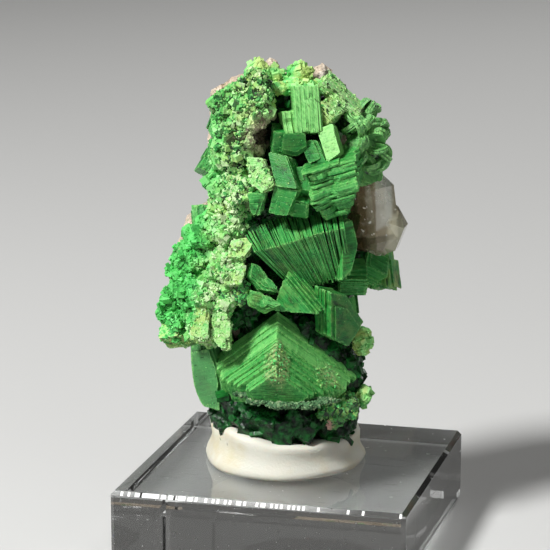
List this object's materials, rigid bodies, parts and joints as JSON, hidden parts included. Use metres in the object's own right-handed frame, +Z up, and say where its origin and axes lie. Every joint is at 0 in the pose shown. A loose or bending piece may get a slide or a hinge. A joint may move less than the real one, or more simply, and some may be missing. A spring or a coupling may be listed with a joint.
{
  "type": "torbernite specimen on display block",
  "caption": "Green torbernite crystal cluster with smoky quartz on pale matrix, seated in white putty on a clear square display block.",
  "frame": {"origin": "middle of the display block's underside", "axes": "+Z up, X and Y along the block's sides, the crystals' front towards -Y and turned 14.6 degrees to the right"},
  "size_m": [0.0254, 0.0254, 0.042],
  "materials": {
    "torbernite_green": "pearly green plates, striated on their edges, with a pale grainy crust",
    "smoky_quartz": "grey-brown, see-through to cloudy, glassy faces",
    "pale_matrix": "rough broken pale rock",
    "putty_white": "off-white mounting putty, pressed by hand",
    "clear_acrylic": "clear polished acrylic"
  },
  "bodies": {
    "root": {"torbernite": "torbernite_green", "smoky_quartz": "smoky_quartz", "matrix": "pale_matrix", "putty": "putty_white", "display_block": "clear_acrylic"}
  },
  "joints": []
}
